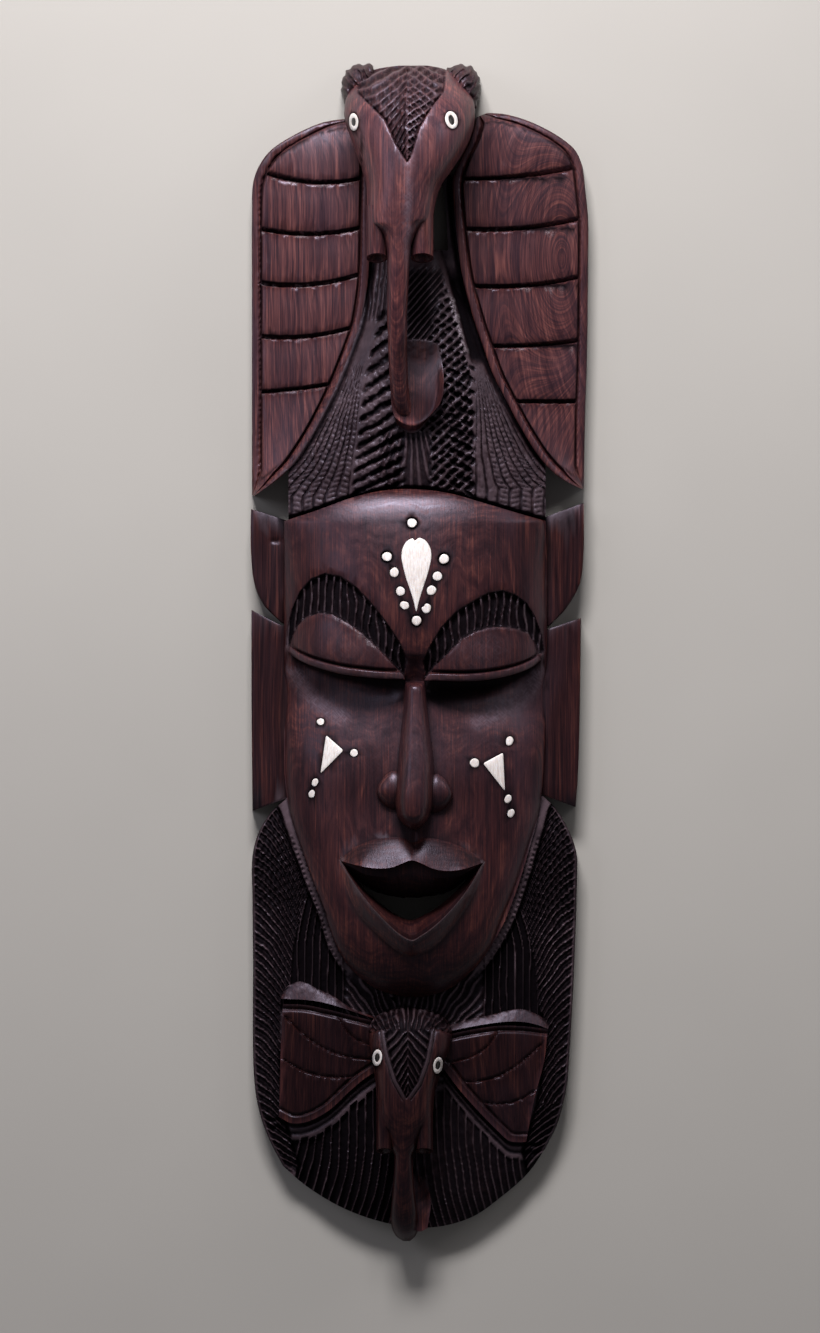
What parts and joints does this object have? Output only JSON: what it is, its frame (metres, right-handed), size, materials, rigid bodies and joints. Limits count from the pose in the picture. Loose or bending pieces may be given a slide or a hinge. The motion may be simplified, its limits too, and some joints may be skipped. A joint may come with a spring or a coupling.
{
  "type": "carved wooden wall mask",
  "caption": "Long carved hardwood wall mask: inlaid face with closed eyes and open mouth between a large elephant head above and a small one below; hollow behind the face.",
  "frame": {"origin": "under the middle of the bounding box, on the plane of the flat back", "axes": "+Z out of the face, +Y towards the large elephant head at the top of the carving, +X towards the viewer's right"},
  "size_m": [0.2732, 0.9502, 0.1165],
  "materials": {
    "wood": "dark red-brown hardwood, waxed and polished on the smooth parts, rough and near-black in the carved texture",
    "bone": "bone, off-white, satin",
    "pupil": "black, satin"
  },
  "bodies": {
    "root": {"mask_body": "wood", "forehead_teardrop": "bone", "forehead_dot_01": "bone", "forehead_dot_02": "bone", "forehead_dot_03": "bone", "forehead_dot_04": "bone", "forehead_dot_05": "bone", "forehead_dot_06": "bone", "forehead_dot_07": "bone", "forehead_dot_08": "bone", "forehead_dot_09": "bone", "forehead_dot_10": "bone", "cheek_triangle_left": "bone", "cheek_triangle_right": "bone", "cheek_dot_left_1": "bone", "cheek_dot_left_2": "bone", "cheek_dot_left_3": "bone", "cheek_dot_left_4": "bone", "cheek_dot_right_1": "bone", "cheek_dot_right_2": "bone", "cheek_dot_right_3": "bone", "cheek_dot_right_4": "bone", "eye_ring_large_left": "bone", "eye_ring_large_right": "bone", "eye_ring_small_left": "bone", "eye_ring_small_right": "bone", "eye_pupil_large_left": "pupil", "eye_pupil_large_right": "pupil", "eye_pupil_small_left": "pupil", "eye_pupil_small_right": "pupil"}
  },
  "joints": []
}
